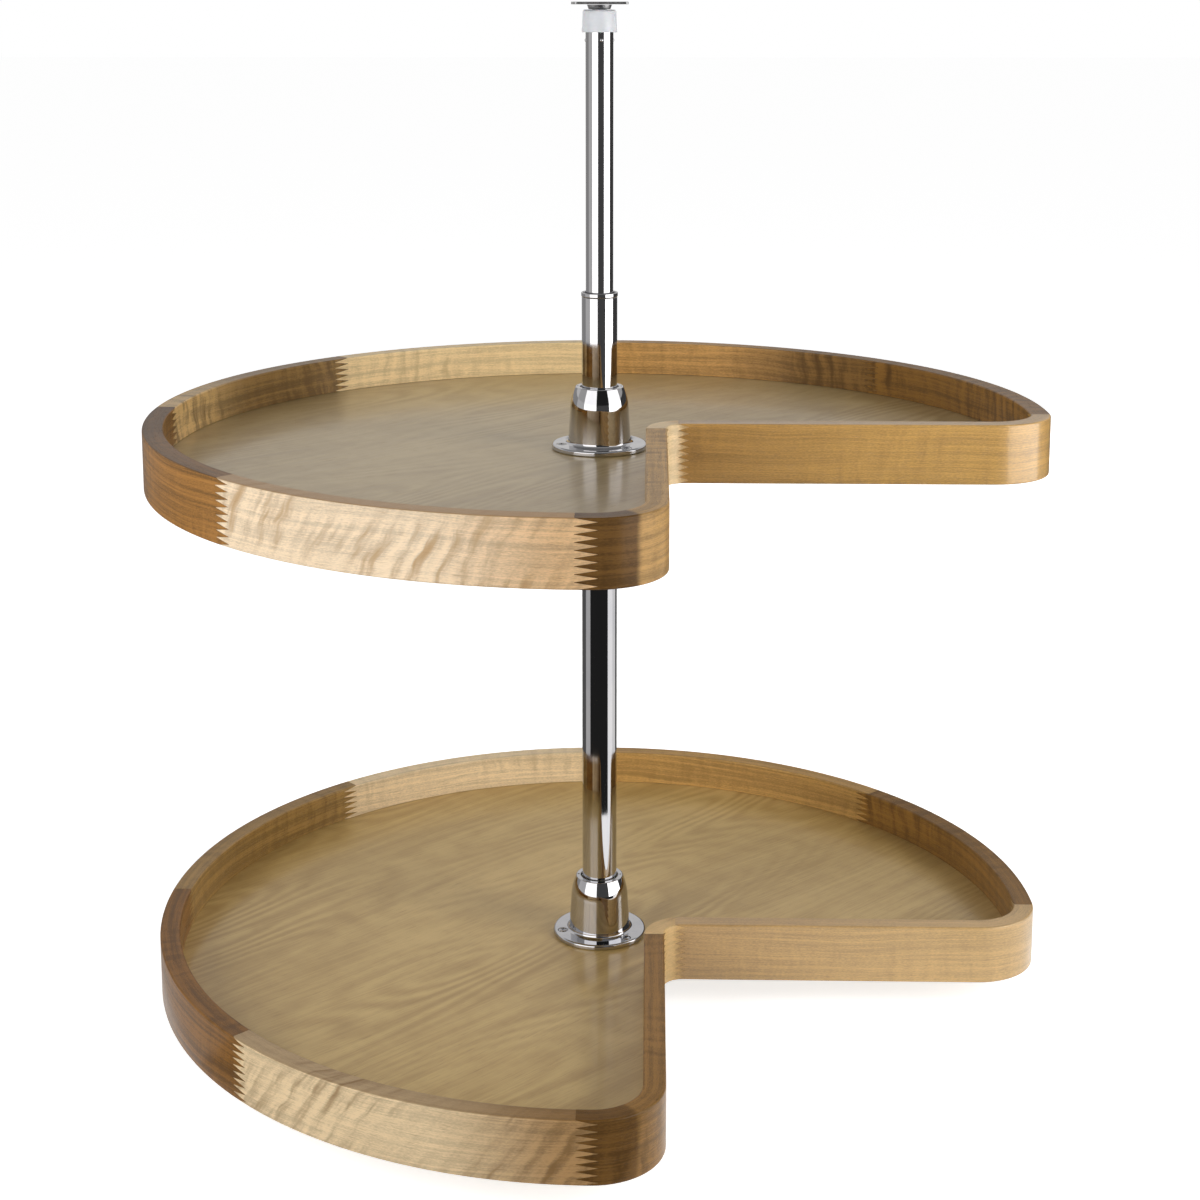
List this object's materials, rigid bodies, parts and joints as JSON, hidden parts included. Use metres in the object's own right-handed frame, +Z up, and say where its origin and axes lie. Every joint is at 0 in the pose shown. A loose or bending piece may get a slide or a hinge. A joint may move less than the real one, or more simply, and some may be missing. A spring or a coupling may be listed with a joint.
{
  "type": "corner cabinet carousel",
  "caption": "Kidney-shaped wooden turntable trays with finger-jointed rims on a telescoping twist-lock chrome pole, for a corner base cabinet.",
  "frame": {"origin": "centre of the underside of the floor plate, on the axis of the pole", "axes": "+Z up the pole; the notch of both trays opens towards +X and -Y, with its straight walls along X and Y"},
  "size_m": [0.7112, 0.7112, 0.802],
  "materials": {
    "chrome": "mirror-bright chrome plating",
    "zinc_steel": "bright zinc-plated pressed and turned steel, satin",
    "white_nylon": "moulded white nylon, satin",
    "natural_nylon": "moulded natural nylon, satin",
    "black_nylon": "moulded black nylon, satin",
    "black_steel": "blackened spring steel, satin",
    "plywood": "veneered plywood under clear satin lacquer",
    "pale_wood": "pale figured hardwood under clear satin lacquer",
    "golden_wood": "golden brown hardwood with fine grain under clear satin lacquer",
    "brown_wood": "darker brown hardwood under clear satin lacquer",
    "cream_wood": "cream hardwood under clear satin lacquer"
  },
  "bodies": {
    "base": {"floor_plate": "zinc_steel"},
    "pole": {"outer_tube": "chrome", "foot_bush": "natural_nylon", "mouth_ring": "chrome", "guide_bush": "black_nylon"},
    "top_bracket": {"top_plate": "zinc_steel", "top_spindle": "zinc_steel", "spindle_clip": "black_steel"},
    "lock_sleeve": {"lock_sleeve": "natural_nylon"},
    "mast": {"inner_tube": "chrome", "lock_core": "zinc_steel", "top_cap": "white_nylon"},
    "upper_collar": {"upper_collar": "zinc_steel", "upper_thrust_washer": "white_nylon", "upper_set_screw": "black_steel"},
    "upper_tray": {"upper_rim_arc_1": "brown_wood", "upper_rim_arc_2": "golden_wood", "upper_rim_arc_3": "pale_wood", "upper_rim_arc_4": "brown_wood", "upper_rim_arc_5": "brown_wood", "upper_rim_arc_6": "pale_wood", "upper_rim_front_wall": "brown_wood", "upper_rim_notch_corner": "cream_wood", "upper_rim_right_wall": "golden_wood", "upper_floor": "plywood", "upper_hub": "chrome", "upper_flange_screw_1": "chrome", "upper_flange_screw_2": "chrome", "upper_flange_screw_3": "chrome", "upper_bearing": "natural_nylon"},
    "lower_collar": {"lower_collar": "zinc_steel", "lower_thrust_washer": "white_nylon", "lower_set_screw": "black_steel"},
    "lower_tray": {"lower_rim_arc_1": "brown_wood", "lower_rim_arc_2": "golden_wood", "lower_rim_arc_3": "pale_wood", "lower_rim_arc_4": "brown_wood", "lower_rim_arc_5": "brown_wood", "lower_rim_arc_6": "pale_wood", "lower_rim_front_wall": "brown_wood", "lower_rim_notch_corner": "cream_wood", "lower_rim_right_wall": "golden_wood", "lower_floor": "plywood", "lower_hub": "chrome", "lower_flange_screw_1": "chrome", "lower_flange_screw_2": "chrome", "lower_flange_screw_3": "chrome", "lower_bearing": "natural_nylon"}
  },
  "joints": [
    {"name": "pole_spin", "type": "hinge", "parent": "base", "child": "pole", "pos_m": [0, 0, 0.003], "axis": [0, 0, 1], "continuous": true},
    {"name": "pole_height", "type": "slide", "parent": "base", "child": "top_bracket", "axis": [0, 0, 1], "range_m": [-0.14, 0.02]},
    {"name": "sleeve_spin", "type": "hinge", "parent": "top_bracket", "child": "lock_sleeve", "pos_m": [0, 0, 0.39], "axis": [0, 0, 1], "continuous": true},
    {"name": "twist_lock", "type": "hinge", "parent": "lock_sleeve", "child": "mast", "pos_m": [0, 0, 0.39], "axis": [0, 0, -1], "range_deg": [-100, 20]},
    {"name": "upper_height", "type": "slide", "parent": "pole", "child": "upper_collar", "axis": [0, 0, 1], "range_m": [-0.15, 0.06]},
    {"name": "upper_spin", "type": "hinge", "parent": "upper_collar", "child": "upper_tray", "pos_m": [0, 0, 0.443], "axis": [0, 0, 1], "continuous": true},
    {"name": "lower_height", "type": "slide", "parent": "pole", "child": "lower_collar", "axis": [0, 0, 1], "range_m": [-0.01, 0.15]},
    {"name": "lower_spin", "type": "hinge", "parent": "lower_collar", "child": "lower_tray", "pos_m": [0, 0, 0.034], "axis": [0, 0, 1], "continuous": true}
  ],
  "couplings": [
    {"joint": "sleeve_spin", "follows": "pole_spin", "ratio": 1}
  ]
}
